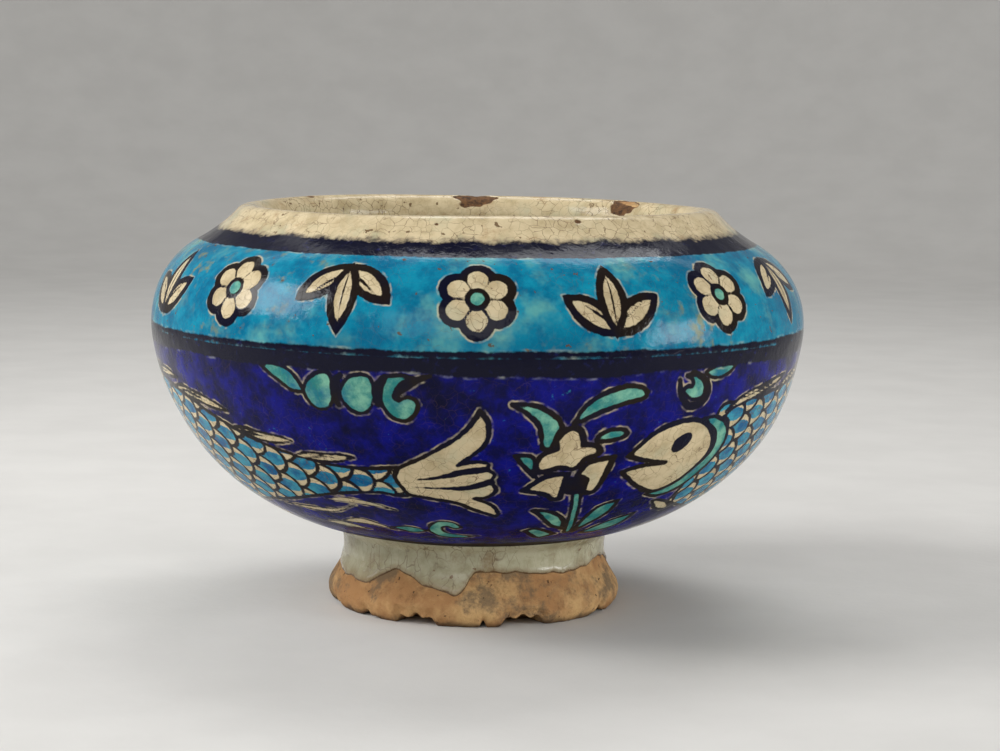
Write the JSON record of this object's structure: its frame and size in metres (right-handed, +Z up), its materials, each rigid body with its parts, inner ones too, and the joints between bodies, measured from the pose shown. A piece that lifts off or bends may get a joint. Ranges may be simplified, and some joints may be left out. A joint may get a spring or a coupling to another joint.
{
  "type": "enamelled pottery bowl",
  "caption": "Round-bellied pottery bowl with a rolled rim and a turned foot ring, glazed inside and painted outside with enamel bands, fish, flowers and leaf scrolls.",
  "frame": {"origin": "middle of the surface that the foot stands on", "axes": "+Z up along the bowl's axis; the front of the bowl, left of its flower, faces -Y"},
  "size_m": [0.18, 0.18, 0.1104],
  "materials": {
    "clay": "matte bare buff clay",
    "slip": "matte dried slip",
    "cream_glaze": "glossy crackled glaze",
    "green_glaze": "glossy crackled glaze",
    "black_enamel": "satin brushed enamel",
    "turquoise_enamel": "glossy mottled enamel",
    "cobalt_enamel": "glossy mottled enamel",
    "leaf_enamel": "glossy enamel",
    "scale_enamel": "glossy enamel"
  },
  "bodies": {
    "root": {"bowl_wall": "clay", "rim_collar": "clay", "rim_slip": "slip", "foot_ring": "clay", "foot_slip": "slip", "lining_glaze": "green_glaze", "rim_glaze": "cream_glaze", "shoulder_line": "black_enamel", "turquoise_ground": "turquoise_enamel", "band_outlines": "black_enamel", "band_rosettes": "cream_glaze", "rosette_hearts": "cobalt_enamel", "band_palmettes": "cream_glaze", "waist_line": "black_enamel", "cobalt_ground": "cobalt_enamel", "painted_outlines": "black_enamel", "fish_head_1": "cream_glaze", "fish_head_2": "cream_glaze", "fish_eye_1": "black_enamel", "fish_eye_2": "black_enamel", "fish_collar_1": "leaf_enamel", "fish_collar_2": "leaf_enamel", "fish_body_1": "cream_glaze", "fish_body_2": "cream_glaze", "fish_scales_1": "scale_enamel", "fish_scales_2": "scale_enamel", "fish_fin_1": "cream_glaze", "fish_fin_2": "cream_glaze", "fish_tail_1": "cream_glaze", "fish_tail_2": "cream_glaze", "flower_petals_1": "cream_glaze", "flower_petals_2": "cream_glaze", "flower_heart_1": "black_enamel", "flower_heart_2": "black_enamel", "flower_leaves_1": "leaf_enamel", "flower_leaves_2": "leaf_enamel", "leaf_scrolls_1": "leaf_enamel", "leaf_scrolls_2": "leaf_enamel", "foot_line": "black_enamel", "foot_glaze": "green_glaze"}
  },
  "joints": []
}
